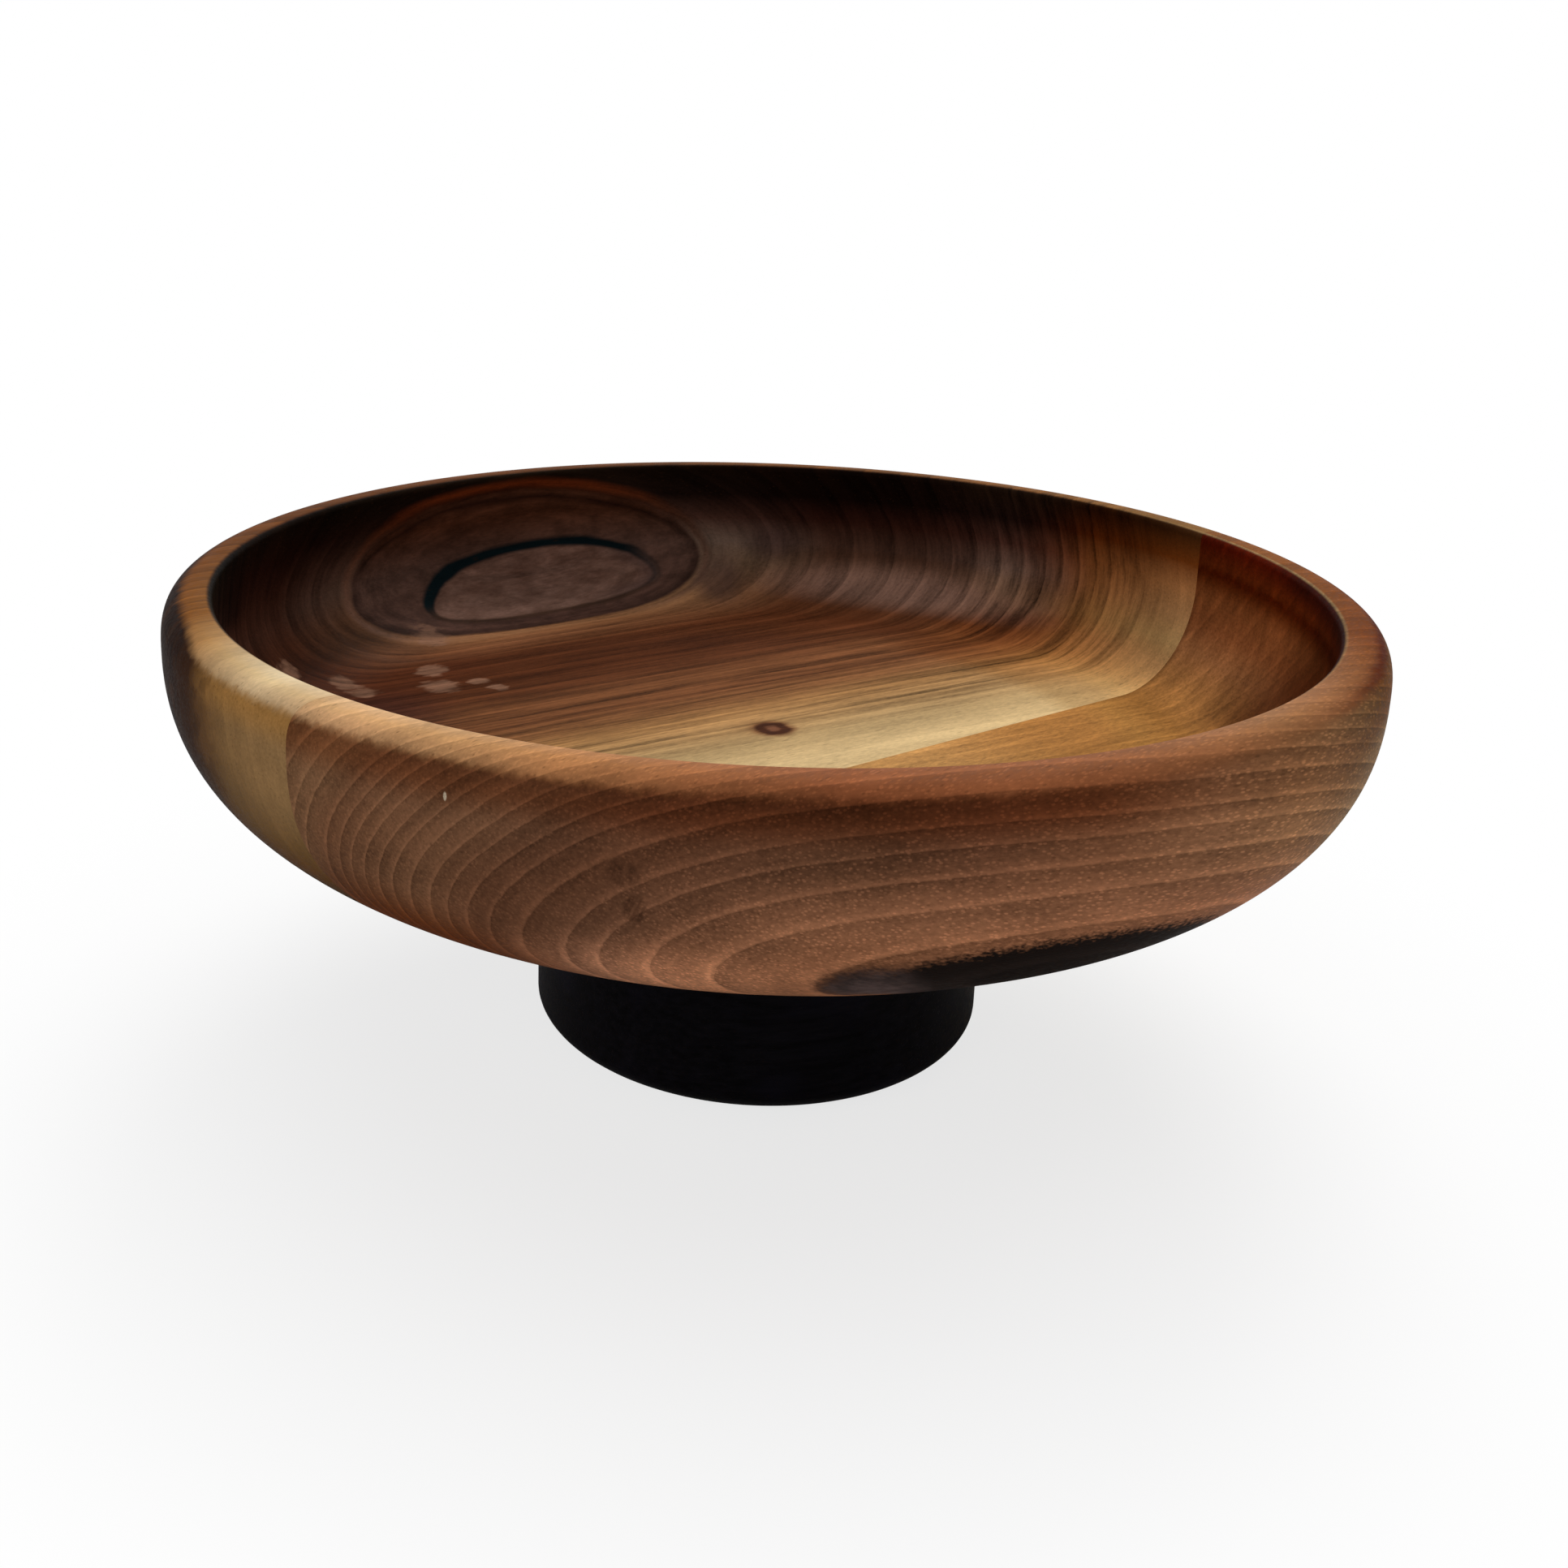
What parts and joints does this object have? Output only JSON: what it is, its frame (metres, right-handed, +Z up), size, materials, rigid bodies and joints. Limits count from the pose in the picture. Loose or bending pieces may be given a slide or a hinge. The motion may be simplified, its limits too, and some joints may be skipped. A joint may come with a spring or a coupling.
{
  "type": "footed fruit bowl",
  "caption": "Shallow round walnut bowl with a thick rolled rim and a flat floor, standing on a short black turned foot.",
  "frame": {"origin": "centre of the circle on which the foot stands, at table level", "axes": "+Z up along the turning axis; +Y towards the back of the bowl, with the glue line between the two boards running from front left to back right"},
  "size_m": [0.3, 0.3, 0.123],
  "materials": {
    "walnut": "oiled satin, with dark heartwood and cream sapwood",
    "black_stained_wood": "black stain under a satin finish"
  },
  "bodies": {
    "root": {"bowl_back_board": "walnut", "bowl_front_board": "walnut", "foot": "black_stained_wood"}
  },
  "joints": []
}
